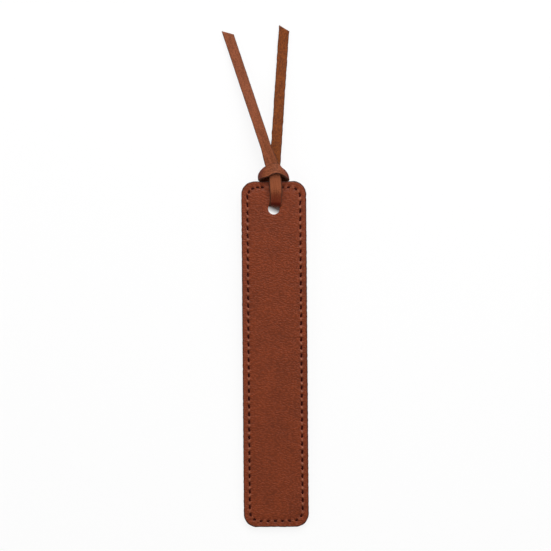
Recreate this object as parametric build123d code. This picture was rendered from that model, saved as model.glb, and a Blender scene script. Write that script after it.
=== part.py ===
from build123d import *
import math
import os

# Leather bookmark: two leathers sewn round a stiffener, with a flat lace hitched through a punched hole.
# Millimetres. X runs across the panel, Y along it towards the hole, and Z up from its back to its front.
# The origin is the middle of the panel's back face.

# Panel: two leathers of one outline, with a stiffener pressed into the field between them
panel_length = 150.0
panel_width = 28.2
corner_radius = 5.7
leather_thickness = 1.1
edge_round = 0.3
stiffener_thickness = 0.4
stiffener_margin = 1.0

# Punched hole for the lace
hole_diameter = 5.0
hole_from_top = 11.9

# Running stitch: one thread, over on the front and under on the back
seam_inset = 2.65
seam_corner_radius = 2.4
stitch_pitch = 3.38
stitch_length = 2.0
thread_width = 0.7
thread_height = 0.35
leg_length = 0.5
bed_gap = 0.03

# Flat lace, the room it needs, and how it is pinched where it passes through the hole
lace_width = 4.6
lace_thickness = 0.95
lace_gap = 0.15
panel_gap = 0.2
rim_gap = 0.15
rim_bend = 0.3
band_gap = 0.35
lobe_gap = 0.7
pinch_share = 0.72
pinch_run = 2.4

# Legs and tails: where their lines cross under the band, how they lean, and where each tail is free to bend
cross_above_top = 5.3
hinge_above_top = 19.0
hinge_gap = 0.2
left_leg_x = 0.45
right_leg_x = -0.1
left_cross_x = -0.13
right_cross_x = 0.55
left_lean = -18.0
right_lean = 4.2
left_tip_slant = 34.0
right_tip_slant = 28.0
cut_overrun = 6.0

# Routes of the free tails: distance past the bend and height of the middle of the lace
left_route = [(0, 3.75), (13, 2.5), (26, 0.2), (38, -1.6), (48.2, -2.6)]
right_route = [(0, 2.3), (13, 1.4), (26, -0.4), (38, -1.9), (47.8, -2.6)]
route_radius_share = 0.45

# Half of the hitch, from the middle of the band over the front, round the lobe and behind the top edge.
# Each row: out and up in lace widths, height from back leg to band, and the turn of the lace's width in degrees
right_lobe_shares = [
    (0.05, 1.00, 1.00, 0),
    (0.56, 0.93, 0.99, 9),
    (0.90, 0.74, 0.86, 19),
    (1.05, 0.50, 0.50, 27),
    (0.92, 0.41, 0.12, 36),
    (0.62, 0.22, 0.00, 50),
]
left_lobe_shares = [
    (0.05, 1.00, 1.00, 0),
    (0.58, 0.88, 0.99, 11),
    (0.95, 0.70, 0.86, 21),
    (1.10, 0.50, 0.50, 28),
    (0.96, 0.41, 0.12, 36),
    (0.64, 0.22, 0.00, 50),
]
back_leg_share = 0.38
back_leg_turn = 76
upright_turn = 90
smooth_steps = 4
arc_steps = 4

# Levels and places that follow from the sizes above
panel_thickness = 2 * leather_thickness
top_edge = panel_length / 2
hole_y = top_edge - hole_from_top
stiffener_inset = seam_inset + stiffener_margin
layer_step = lace_thickness + lace_gap
inner_front = panel_thickness + panel_gap + lace_thickness / 2
outer_front = inner_front + layer_step
band_level = outer_front + lace_thickness + band_gap
inner_back = -panel_gap - lace_thickness / 2
outer_back = inner_back - layer_step
cross_y = top_edge + cross_above_top
hinge_y = top_edge + hinge_above_top
pinch_width = lace_width * pinch_share
rim_y = hole_y + rim_bend + math.sqrt((hole_diameter / 2 - rim_gap) ** 2 - (pinch_width / 2) ** 2)
leg_start_y = rim_y + pinch_run


def outline(inset, radius):
    """The panel's rounded rectangle, drawn in by an inset."""
    return RectangleRounded(panel_width - 2 * inset, panel_length - 2 * inset, radius)


def board():
    """The stiffener's slab, midway between the leathers."""
    slab = extrude(outline(stiffener_inset, seam_corner_radius), stiffener_thickness / 2, both=True)
    return Pos(0, 0, panel_thickness / 2) * slab


def punched(piece):
    """A layer of the panel with the lace's hole through it."""
    punch = Cylinder(hole_diameter / 2, 2 * panel_thickness)
    return piece - Pos(0, hole_y, panel_thickness / 2) * punch


def stitch_places():
    """The thread's two holes of each stitch, in order along the seam."""
    seam = outline(seam_inset, seam_corner_radius).wire()
    count = round(seam.length / stitch_pitch)
    reach = stitch_length / seam.length / 2
    middles = [(index + 0.5) / count for index in range(count)]
    return [(seam @ ((middle - reach) % 1), seam @ ((middle + reach) % 1)) for middle in middles]


def bridges(places):
    """The stretches between stitches, where the thread runs along the back."""
    return [(start, end) for (_, start), (end, _) in zip(places, places[1:] + places[:1])]


def bar_plane(start, end, level):
    """A plane midway between two holes, with X along the thread."""
    return Plane(origin=(start + end) / 2 + Vector(0, 0, level), x_dir=end - start, z_dir=(0, 0, 1))


def stitches(places):
    """The thread on the front: each stitch is a bar with a leg down through the leathers at each end."""
    legs_down = panel_thickness - 2 * thread_height
    pieces = []
    for start, end in places:
        length = (end - start).length
        bar = Rectangle(length, thread_height, align=(Align.CENTER, Align.MAX))
        leg = Rectangle(leg_length, legs_down, align=(Align.MIN, Align.MAX))
        profile = bar + Pos(-length / 2, -thread_height) * leg
        profile += Pos(length / 2 - leg_length, -thread_height) * leg
        upright = bar_plane(start, end, panel_thickness) * Rot(90, 0, 0)
        pieces.append(upright * extrude(profile, thread_width / 2, both=True))
    return pieces


def back_bars(places):
    """The thread on the back, from each stitch's last hole to the next stitch's first."""
    pieces = []
    for start, end in bridges(places):
        length = (end - start).length + 2 * leg_length
        bar = Box(length, thread_width, thread_height, align=(Align.CENTER, Align.CENTER, Align.MIN))
        pieces.append(bar_plane(start, end, 0) * bar)
    return pieces


def beds(spans, extra_length, level):
    """The dents that hold the thread flush with a face, as one group of cutters."""
    pieces = []
    for start, end in spans:
        length = (end - start).length + extra_length + 2 * bed_gap
        dent = Box(length, thread_width + 2 * bed_gap, 2 * thread_height)
        pieces.append(bar_plane(start, end, level) * dent)
    return Compound(pieces)


def front_leather(places):
    """The front: rounded outer edge, a shallow press for the stiffener, stitch beds and the lace's hole."""
    sheet = Pos(0, 0, leather_thickness) * extrude(outline(0, corner_radius), leather_thickness)
    sheet = fillet(sheet.faces().sort_by(Axis.Z)[-1].edges(), edge_round)
    return punched(sheet - board() - beds(places, 0, panel_thickness))


def back_leather(places):
    """The back: as the front, with beds for the thread between stitches."""
    sheet = extrude(outline(0, corner_radius), leather_thickness)
    sheet = fillet(sheet.faces().sort_by(Axis.Z)[0].edges(), edge_round)
    return punched(sheet - board() - beds(bridges(places), 2 * leg_length, 0))


def smooth(rows):
    """Rows of numbers joined by an even curve through all of them."""
    ends = [rows[0]] + rows + [rows[-1]]
    points = []
    for before, start, end, after in zip(ends, ends[1:], ends[2:], ends[3:]):
        for step in range(smooth_steps):
            t = step / smooth_steps
            points.append(
                tuple(
                    b + t * (c - a) / 2 + t**2 * (a - 2.5 * b + 2 * c - d / 2) + t**3 * (3 * (b - c) + d - a) / 2
                    for a, b, c, d in zip(before, start, end, after)
                )
            )
    return points + [rows[-1]]


def lobe(side, shares, back_level, leg_x):
    """Stations from the middle of the band round one lobe to the hole's rim behind the panel."""
    rows = []
    for out, up, height, turn in shares:
        y = top_edge + lobe_gap + up * lace_width
        rows.append((side * out * lace_width, y, back_level + height * (band_level - back_level), side * turn))
    last_x, last_y = rows[-1][:2]
    leg_y = leg_start_y + back_leg_share * (last_y - leg_start_y)
    rows.append((leg_x + back_leg_share * (last_x - leg_x), leg_y, back_level, side * back_leg_turn))
    rows.append((leg_x, leg_start_y, back_level, side * upright_turn))
    return [(Vector(x, y, z), turn, lace_width) for x, y, z, turn in smooth(rows)]


def through_hole(side, layer):
    """Stations that turn the lace up through the hole and over its rim, on the inner or outer layer."""
    radius = rim_bend + lace_thickness / 2 + layer * layer_step
    low, high = -panel_gap + rim_bend, panel_thickness + panel_gap - rim_bend
    stations = []
    for first, middle in ((270, low), (180, high)):
        for step in range(arc_steps + 1):
            angle = math.radians(first - 90 * step / arc_steps)
            place = Vector(0, rim_y + radius * math.cos(angle), middle + radius * math.sin(angle))
            stations.append((place, side * upright_turn, pinch_width))
    return stations


def bend_point(cross_x, lean, level):
    """The middle of the lace where a tail starts to bend."""
    return Vector(cross_x + (hinge_y - cross_y) * math.tan(math.radians(lean)), hinge_y, level)


def front_leg(side, leg_x, cross_x, lean, level, route):
    """Stations up the front, under the band and along the tail's line to just short of its bend."""
    heading = math.radians(lean)
    stop = bend_point(cross_x, lean, route[0][1])
    stop -= (hinge_gap + lace_thickness / 2) * Vector(math.sin(heading), math.cos(heading), 0)
    turn = upright_turn - side * lean
    rows = [
        (leg_x, leg_start_y, level, upright_turn),
        ((leg_x + cross_x) / 2, (leg_start_y + cross_y) / 2, level, upright_turn),
        (cross_x, cross_y, level, turn),
        ((cross_x + stop.X) / 2, (cross_y + stop.Y) / 2, (level + stop.Z) / 2, turn),
        (stop.X, stop.Y, stop.Z, turn),
    ]
    return [(Vector(x, y, z), side * angle, lace_width) for x, y, z, angle in smooth(rows)]


def ribbon(stations):
    """A flat strip through stations of middle, turn and width."""
    sections = []
    for index, (middle, turn, width) in enumerate(stations):
        before = stations[max(index - 1, 0)][0]
        after = stations[min(index + 1, len(stations) - 1)][0]
        across = Vector(-math.sin(math.radians(turn)), math.cos(math.radians(turn)), 0)
        face = across.cross(after - before).normalized()
        sections.append(Plane(middle, x_dir=across, z_dir=across.cross(face)) * Rectangle(width, lace_thickness))
    return loft(sections, ruled=True)


def lace_half(side, shares, back_level, layer, leg_x, cross_x, lean, level, route):
    """Stations of half the hitch, from the middle of its band to where its tail bends."""
    back = lobe(side, shares, back_level, leg_x)
    front = front_leg(side, leg_x, cross_x, lean, level, route)
    return back + through_hole(side, layer) + front


def lace_hitch():
    """The lace's cow hitch: band, lobes, back legs, the pass through the hole and both front legs, as one strip."""
    left = lace_half(
        -1, left_lobe_shares, outer_back, 1, left_leg_x, left_cross_x, left_lean, outer_front, left_route
    )
    right = lace_half(
        1, right_lobe_shares, inner_back, 0, right_leg_x, right_cross_x, right_lean, inner_front, right_route
    )
    return ribbon(left[:0:-1] + right)


def lace_tail(cross_x, lean, route, tip_slant):
    """A free tail: a flat strip along its route, round where it bends at the knot and cut on a slant at its tip."""
    heading = math.radians(lean)
    along = Vector(math.sin(heading), math.cos(heading), 0)
    upright = Plane(bend_point(cross_x, lean, 0), x_dir=along, z_dir=along.cross(Vector(0, 0, 1)))
    points = [Vector(distance, height) for distance, height in route]
    tip = points[-1]
    points[-1] = tip + (tip - points[-2]).normalized() * cut_overrun
    radii = []
    for before, corner, after in zip(points, points[1:], points[2:]):
        turn = (corner - before).get_angle(after - corner)
        shorter = min((corner - before).length, (after - corner).length)
        radii.append(route_radius_share * shorter / math.tan(math.radians(turn / 2)))
    path = FilletPolyline(*points, radius=radii)
    section = Plane(path @ 0, x_dir=(0, 0, 1), z_dir=path % 0) * Rectangle(lace_width, lace_thickness)
    strip = sweep(section, path=path)
    volume_share = strip.volume / (path.length * lace_width * lace_thickness)
    print("tail radii", [round(radius, 1) for radius in radii], "volume share", round(volume_share, 4))
    strip += Pos(points[0]) * Cylinder(lace_thickness / 2, lace_width)
    cutter = Box(2 * cut_overrun, 2 * cut_overrun, 2 * cut_overrun, align=(Align.MIN, Align.CENTER, Align.CENTER))
    return upright * (strip - Pos(tip) * Rot(0, -tip_slant, 0) * cutter)


places = stitch_places()
nodes = {
    "front_leather": front_leather(places),
    "back_leather": back_leather(places),
    "stiffener": punched(board()),
    "seam_thread": Compound(stitches(places) + back_bars(places)),
    "lace_hitch": lace_hitch(),
    "lace_left_tail": lace_tail(left_cross_x, left_lean, left_route, left_tip_slant),
    "lace_right_tail": lace_tail(right_cross_x, right_lean, right_route, right_tip_slant),
}

os.makedirs("parts", exist_ok=True)
for name, solid in nodes.items():
    export_step(solid, f"parts/{name}.step")
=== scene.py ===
import math

import bpy
from mathutils import Color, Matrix, Vector, geometry, noise


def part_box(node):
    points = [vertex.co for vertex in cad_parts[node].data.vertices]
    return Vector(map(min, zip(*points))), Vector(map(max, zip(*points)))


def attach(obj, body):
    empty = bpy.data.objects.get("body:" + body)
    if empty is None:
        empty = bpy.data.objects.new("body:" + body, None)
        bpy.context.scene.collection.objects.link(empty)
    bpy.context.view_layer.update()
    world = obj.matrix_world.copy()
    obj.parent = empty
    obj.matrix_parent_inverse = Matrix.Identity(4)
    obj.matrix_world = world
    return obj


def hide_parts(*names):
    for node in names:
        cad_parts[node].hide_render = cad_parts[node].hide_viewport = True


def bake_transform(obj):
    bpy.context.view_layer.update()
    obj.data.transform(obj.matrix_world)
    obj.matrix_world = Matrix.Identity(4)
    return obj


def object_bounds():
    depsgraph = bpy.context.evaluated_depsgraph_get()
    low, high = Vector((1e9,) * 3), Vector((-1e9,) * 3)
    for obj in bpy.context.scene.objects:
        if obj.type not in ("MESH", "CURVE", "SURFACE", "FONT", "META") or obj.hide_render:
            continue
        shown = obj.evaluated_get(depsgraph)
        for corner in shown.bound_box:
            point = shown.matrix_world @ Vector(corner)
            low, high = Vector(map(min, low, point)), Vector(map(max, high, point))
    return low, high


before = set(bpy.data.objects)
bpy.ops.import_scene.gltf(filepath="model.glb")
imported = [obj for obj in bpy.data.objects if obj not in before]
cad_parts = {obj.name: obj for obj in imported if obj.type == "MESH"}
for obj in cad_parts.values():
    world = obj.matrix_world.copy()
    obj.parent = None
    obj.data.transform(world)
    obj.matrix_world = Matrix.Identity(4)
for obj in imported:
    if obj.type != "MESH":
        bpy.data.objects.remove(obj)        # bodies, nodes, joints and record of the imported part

# Leather bookmark: two sewn leathers and a flat lace hitched through a punched hole.
# Metres. X runs across the panel, Y along it towards the hole, and Z up from its back to its front.
# Places come from the frame. Tables and named values are in millimetres unless a comment says otherwise.

bl_info = {
    "name": "Leather bookmark",
    "version": (1, 0, 0),
    "blender": (4, 5, 0),
    "location": "View3D > Sidebar > Bookmark",
    "description": "Dresses a sewn leather bookmark and its hitched lace",
    "category": "Object",
}

MM = 0.001
CAD_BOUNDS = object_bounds()
PANEL_LOW, PANEL_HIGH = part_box("back_leather")[0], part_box("front_leather")[1]
PANEL_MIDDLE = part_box("front_leather")[0].z
LACE_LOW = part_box("lace_hitch")[0].z
TOP_EDGE = PANEL_HIGH.y


# Settings


def linear(code):
    """The linear colour of an sRGB hex value."""
    parts = [int(code[i : i + 2], 16) / 255 for i in (0, 2, 4)]
    return tuple(c / 12.92 if c <= 0.04045 else ((c + 0.055) / 1.055) ** 2.4 for c in parts)


def length_setting(name, description, size):
    """A length, given in millimetres."""
    return bpy.props.FloatProperty(
        name=name, description=description, default=size * MM, unit="LENGTH", subtype="DISTANCE", precision=5
    )


def colour_setting(name, description, code):
    """A colour, given as an sRGB hex value."""
    return bpy.props.FloatVectorProperty(
        name=name, description=description, default=linear(code), subtype="COLOR", size=3, min=0, max=1
    )


def angle_setting(name, description, degrees):
    """An angle, given in degrees."""
    return bpy.props.FloatProperty(
        name=name, description=description, default=math.radians(degrees), unit="ROTATION", subtype="ANGLE"
    )


def strength_setting(name, description, default):
    """A share or a strength, plain at 1."""
    return bpy.props.FloatProperty(name=name, description=description, default=default)


def finish_setting(name, description):
    """A material that pieces share."""
    return bpy.props.PointerProperty(name=name, description=description, type=bpy.types.Material)


class BookmarkPanelSettings(bpy.types.PropertyGroup):
    """Sizes of the sewn panel."""

    corner_radius: length_setting("Corner radius", "Radius of the panel's corners", 5.7)
    edge_round: length_setting("Edge rounding", "Rounding of the painted edge", 0.42)
    edge_uneven: length_setting("Edge unevenness", "Waviness of the trimmed edge", 0.12)
    hole_radius: length_setting("Hole radius", "Radius of the punched hole", 2.5)
    hole_from_top: length_setting("Hole from top", "From the top edge to the hole's middle", 11.9)
    seam_inset: length_setting("Seam inset", "From the edge to the seam", 2.65)
    seam_corner: length_setting("Seam corner", "Radius of the seam's corners", 4.3)
    stitch_length: length_setting("Stitch length", "Thread that shows of each stitch", 2.0)
    stitch_slant: angle_setting("Stitch slant", "Turn of each stitch from the seam's line", 9)
    thread_width: length_setting("Thread width", "Width of the sewing thread", 0.84)
    thread_height: length_setting("Thread height", "Height of the sewing thread", 0.5)
    bed_depth: length_setting("Bed depth", "How far each stitch pulls the leather in", 0.34)
    bridge_height: length_setting("Bridge height", "How far the leather rises between stitches", 0.16)
    press_depth: length_setting("Press depth", "Room for the stiffener in each leather", 0.2)
    press_inset: length_setting("Press inset", "From the edge to the stiffener", 3.65)


class BookmarkLaceSettings(bpy.types.PropertyGroup):
    """Sizes of the flat lace."""

    width: length_setting("Width", "Width of the lace", 4.6)
    thickness: length_setting("Thickness", "Thickness of the lace", 0.95)
    edge_round: length_setting("Edge rounding", "Rounding of the lace's cut edges", 0.24)
    bend_run: length_setting("Bend run", "Length over which a lifted tail bends", 3.0)
    left_slant: angle_setting("Left tip", "Slant of the left tail's cut end", 34)
    right_slant: angle_setting("Right tip", "Slant of the right tail's cut end", 28)


class BookmarkColourSettings(bpy.types.PropertyGroup):
    """Colours of the leathers, paint, thread and stiffener."""

    panel: colour_setting("Panel", "Pebbled leather of the panel", "843715")
    panel_dark: colour_setting("Panel valleys", "Valleys of the panel's grain", "64280E")
    # Painted highlight: the lighter colour that stands for light on the leather between stitches
    painted_bridge_highlight: colour_setting("Bridges", "Painted highlight on the leather between stitches", "985A3F")
    paint: colour_setting("Edge paint", "Paint on the panel's edges", "4A2114")
    thread: colour_setting("Thread", "Waxed sewing thread", "3C0A03")
    lace: colour_setting("Lace", "Grain side of the lace", "914E2F")
    lace_dark: colour_setting("Lace creases", "Creases of the lace's grain side", "643218")
    # Painted shade: the colour that stands for shade on the lace at the hole and at its folds
    lace_painted_shade: colour_setting("Painted shade on the lace", "Lace at the hole and at its folds", "5A1502")
    flesh: colour_setting("Flesh side", "Napped side of the lace", "844213")
    flesh_dark: colour_setting("Flesh shade", "Darker nap of the lace", "602D0D")
    cut: colour_setting("Cut edge", "Cut edges of the lace", "35170A")
    board: colour_setting("Stiffener", "Sheet between the leathers", "7D5B40")


class BookmarkStageSettings(bpy.types.PropertyGroup):
    """Camera, floor and light."""

    view_width: length_setting("View width", "Width of the picture at the panel", 239.0)
    camera_height: length_setting("Camera height", "Height of the camera", 1500.0)
    aim_x: length_setting("Aim across", "Middle of the picture across the panel", 0.48)
    aim_y: length_setting("Aim along", "Middle of the picture along the panel", 34.1)
    roll: angle_setting("Roll", "Turn of the camera about its view", -0.46)
    floor_size: length_setting("Floor size", "Side of the floor", 3000.0)
    floor: colour_setting("Floor", "Pale floor", "FFFFFF")
    prop_from_top: length_setting("Prop from top", "From the top edge to where the lace rests", 8.0)
    floor_glow: strength_setting("Floor glow", "Share of plain white", 0.86)
    light: strength_setting("Lamps", "Power of all the lamps", 1.09)
    fill: strength_setting("Fill light", "Strength of the surrounding light", 0.16)


class BookmarkFinishes(bpy.types.PropertyGroup):
    """Finishes that more than one piece of the lace has."""

    grain: finish_setting("Grain side", "Lace's grain side")
    flesh: finish_setting("Flesh side", "Lace's flesh side")
    cut: finish_setting("Cut edge", "Lace's cut edges")


# Stations of the hitch: x, height above the panel's top edge, z, turn and tilt of the lace's width in
# degrees, how far its edges curl outwards, and its width. Each half runs from the band to its tail.
BAND_MIDDLE = (0.4, 5.45, 5.4, 3, 11, 0.1, 4.6)
LEFT_LOBE = [
    (-2.1, 4.35, 5.1, -14, 11, -0.15, 5.4),
    (-4.45, 3.75, 4.05, -18, 10, -0.5, 5.7),
    (-6.0, 2.75, 2.1, -18, 0, -0.8, 4.8),
    (-4.95, 2.0, 0.1, -34, -4, -0.3, 4.6),
    (-3.4, 0.6, -1.5, -56, 0, 0.1, 4.6),
    (-1.3, -4.4, -1.78, -76, 0, 0.1, 4.6),
    (0.0, -6.9, -1.65, -88, 0, 0.2, 4.5),
]
RIGHT_LOBE = [
    (2.6, 5.1, 5.05, 12, 11, 0.0, 4.6),
    (4.25, 3.8, 4.1, 24, 8, -0.2, 4.8),
    (5.8, 2.6, 2.2, 24, 0, -0.5, 4.8),
    (4.95, 1.9, 0.6, 32, -5, -0.2, 4.6),
    (3.5, 0.6, -0.55, 52, 0, 0.1, 4.6),
    (1.3, -4.4, -0.7, 76, 0, 0.1, 4.6),
    (0.0, -6.9, -0.68, 88, 0, 0.2, 4.5),
]
LEFT_FRONT = [
    (1.0, -6.9, 3.62, -90, 0, 0.3, 4.9),
    (1.0, -4.6, 3.9, -88, 0, 0.16, 5.1),
    (0.87, -2.0, 4.0, -87, 0, 0.12, 5.2),
    (0.65, 1.0, 4.02, -87, 0, 0.1, 5.1),
    (0.4, 3.2, 4.02, -80, 0, 0.05, 4.6),
    (-0.03, 5.0, 4.05, -72, 0, 0.0, 4.6),
]
RIGHT_FRONT = [
    (0.9, -6.9, 2.72, 90, 0, 0.1, 5.3),
    (1.0, -4.6, 2.85, 90, 0, 0.05, 5.6),
    (0.87, -2.0, 2.95, 90, 0, 0.05, 5.7),
    (0.65, 1.0, 3.0, 90, 0, 0.05, 5.5),
    (0.45, 3.2, 3.0, 88, 0, 0.05, 4.9),
    (0.53, 5.0, 2.95, 85.8, 0, 0.0, 4.6),
]
STATION_STEPS = 6

# The pass through the hole: the bend over each rim, and the inner and the outer lace in the hole
RIM_ABOVE_HOLE = 3.72
RIM_BEND = 1.4
RIM_LIFT = 0.1
PINCH_SHIFTS = (-0.1, 0.5)
PINCH_WIDTHS = (4.2, 4.0)
PINCH_CURLS = (0.7, 0.3)
PINCH_TURN = 98
PINCH_THICKNESS = 0.76
PINCH_STEPS = 4

# Painted shade and painted light on the hitch as shares, and the runs over which each comes: past the hole's
# rim, aside and by height. Painted shade darkens the lace where it bends down into the hole, on the lobes'
# folds and on the lower leg beside the upper leg; painted light lightens the upper leg where the band shades
# it
PAINTED_HOLE_SHADE, PAINTED_HOLE_SHADE_RUN = 0.75, (1.0, 7.5)
PAINTED_FOLD_SHADE, PAINTED_FOLD_SHADE_ASIDE = 0.95, (2.6, 5.8)
PAINTED_SHADOW_LIFT, PAINTED_SHADOW_BELOW, PAINTED_SHADOW_ASIDE = 0.4, (3.2, 3.5), (2.0, 4.0)
PAINTED_LIGHT, PAINTED_LIGHT_RUN, PAINTED_LIGHT_ASIDE = 0.7, (3.5, 7.0), (2.0, 3.0)
PAINTED_LIGHT_ABOVE, PAINTED_LIGHT_BELOW = (3.5, 3.7), (4.1, 4.4)

# Lace section: steps across each side and round each corner, the largest corner as a share of half the
# thickness, and finishes by material slot
FLAT_STEPS, ROUND_STEPS = 20, 3
LARGEST_CORNER = 0.9
LACE_FACE, LACE_EDGE, LACE_BACK = 0, 1, 2

# Creases where the knot gathers the lace, and the share of their height in the hitch
CREASE_HEIGHT, CREASE_SPACING, CREASE_LENGTH = 0.2, 0.7, 9.0
CREASE_DRIFT, CREASE_DRIFT_RUN = 0.35, 3.0
HITCH_CREASE = 1 / 3

# Tails: where each bends, its lean in degrees, the roughness of its edges, how far the knot spreads each
# side of it, and its route as distance past the bend and height
TAIL_BEND_ABOVE_TOP = 19.0
LEFT_TAIL = {
    "bend_x": -4.58,
    "lean": -18.0,
    "fuzz": 0.05,
    "spread": 0.55,
    "route": [(-14.72, 4.05), (-7, 4.0), (0, 3.75), (13, 2.5), (26, 0.2), (38, -1.6), (48.2, -2.6)],
}
RIGHT_TAIL = {
    "bend_x": 1.556,
    "lean": 4.2,
    "fuzz": 0.14,
    "spread": 0.1,
    "route": [(-14.04, 2.95), (-7, 2.75), (0, 2.3), (13, 1.4), (26, -0.4), (38, -1.9), (47.8, -2.6)],
}
ROUTE_STEPS = 24
# Along a tail: the run of its slanted tip, and where the knot's creases and spread come and go
TIP_RUN = 8.0
GATHERED, RELEASED, SPREAD_GONE = (0, 2), (3, 9), (3, 11)
# Rough edges: the size of a clump of fibres, and the noise's fall, growth and octaves
FUZZ_LENGTH, FUZZ_WIDTH = 2.4, 2.0
FUZZ_NOISE = (1, 2, 3)

# Runs of stitches along the seam from its top left: the first, the last, their number, and how long they
# are as a share of the stitches on the long sides
STITCH_RUNS = [
    (-0.05, 134.35, 41, 1.0),
    (137.7, 137.7, 1, 0.8),
    (140.45, 158.75, 7, 0.7),
    (161.7, 161.7, 1, 0.8),
    (165.05, 300.95, 40, 1.0),
    (304.2, 304.2, 1, 0.8),
    (307.45, 310.1, 2, 0.7),
    (314.45, 314.45, 1, 0.7),
    (318.8, 323.15, 3, 0.7),
    (325.4, 325.4, 1, 0.8),
]
STEPS_PER_STITCH = 10
# The share of the seam's corner that the innermost lines keep
INNER_CORNER = 0.4

# Relief beside the seam, the painted highlight on the leather between stitches, and the run over which relief
# comes in from the edge
SHOULDER = 0.3
BRIDGE_WIDTH, BED_WIDTH = 0.75, 0.62
DIP, DIP_WIDTH = 0.08, 1.5
FIELD_RISE, FIELD_RUN = 0.1, 3.0
HIGHLIGHT_RUN, HIGHLIGHT_WIDTH = 0.5, 0.36
RELIEF_RUN = 1.2

# Leathers: waves of the edge and the face, rows across the sewn border by their inset, rings round the hole
# by their gap from its wall and their drop, spacing of the other points, and finishes by material slot
EDGE_WAVE, EDGE_WAVE_REACH = 1.4, 1.0
FACE_WAVE, FACE_WAVE_HEIGHT = 18.0, 0.05
EDGE_STEPS = 4
BORDER_ROWS = [
    0.5, 0.75, 1.05, 1.35, 1.6, 1.8, 2.0, 2.2, 2.4, 2.55,
    2.7, 2.85, 3.0, 3.2, 3.4, 3.6, 3.68, 4.0, 4.5, 5.2,
]
RIM_RINGS = [(0.6, 0), (0.3, 0.04), (0.12, 0.1), (0.03, 0.2), (0, 0.34)]
RIM_STEPS = 64
FACE_SPACING, INSIDE_SPACING = 1.4, 6.0
PRESS_STEP = 0.03
SHARP_ANGLE = math.radians(60)
GRAIN, PAINT = 0, 1

# Stitches: steps along and round, how far the ends run on, dive and thin, and the twisted plies
DASH_STEPS, DASH_SIDES = 20, 12
DASH_RUN_ON = 0.12
DASH_SUNK, DASH_DIVE = 0.3, 0.5
DASH_TAPER = 0.35
PLIES, PLY_RELIEF, PLY_TWIST = 3, 0.16, 0.2

# How far the camera sees, in metres
CAMERA_REACH = 20
# Soft lamps: name, place in metres and power in watts. The light falls from the top of the picture.
LAMPS = [
    ("key", (0.1, 0.66, 0.6), 6.2),
    ("left_fill", (-0.9, 0.1, 0.6), 2.3),
    ("right_fill", (0.9, 0.1, 0.6), 2.6),
    ("low_fill", (0.0, -0.85, 0.6), 0.8),
]
LAMP_SIZE = 700.0
WHITE = (1, 1, 1, 1)
# Heights, as shares of straight up, between which the white backdrop gives way to a dim ceiling
HORIZON = (0.03, 0.2)

# Floor under the panel, and its patch under the hole, with painted light and shadow that stand for light
# slanting in
# past the lace: half its side, its lift, its share of white under the hole's middle, and how that grows
# across and along, per millimetre
FLOOR_GAP = 0.05
HOLE_PATCH = 6.0
HOLE_PATCH_LIFT = 0.02
HOLE_PAINTED_LIGHT = 0.17
HOLE_PAINTED_LIGHT_GROWTH = (-0.15, -0.33)


# Materials


def feed(tree, node, inputs):
    """Fix a node's inputs or link them. A node given as an input stands for its first live output."""
    for name, value in inputs.items():
        if isinstance(value, bpy.types.Node):
            value = next(output for output in value.outputs if output.enabled)
        if isinstance(value, bpy.types.NodeSocket):
            tree.links.new(value, node.inputs[name])
        else:
            node.inputs[name].default_value = (*value, 1) if isinstance(value, Color) else value


def add(tree, kind, inputs=None, **settings):
    """One shader node with its settings, its fixed inputs and its links.

    Inputs whose names repeat go by number: a colour Mix has its factor at 0 and its colours at 6 and 7.
    """
    node = tree.nodes.new("ShaderNode" + kind)
    for name, value in settings.items():
        setattr(node, name, value)
    feed(tree, node, inputs or {})
    return node


def new_material(name, **sockets):
    """A material with one principled shader, and its fixed sockets."""
    material = bpy.data.materials.new(name)
    material.use_nodes = True
    tree = material.node_tree
    shader = tree.nodes["Principled BSDF"]
    feed(tree, shader, {socket.replace("_", " "): value for socket, value in sockets.items()})
    return material, tree, shader


def per(size):
    """The texture scale that draws one feature in each stretch of that many millimetres."""
    return 1 / (size * MM)


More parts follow.
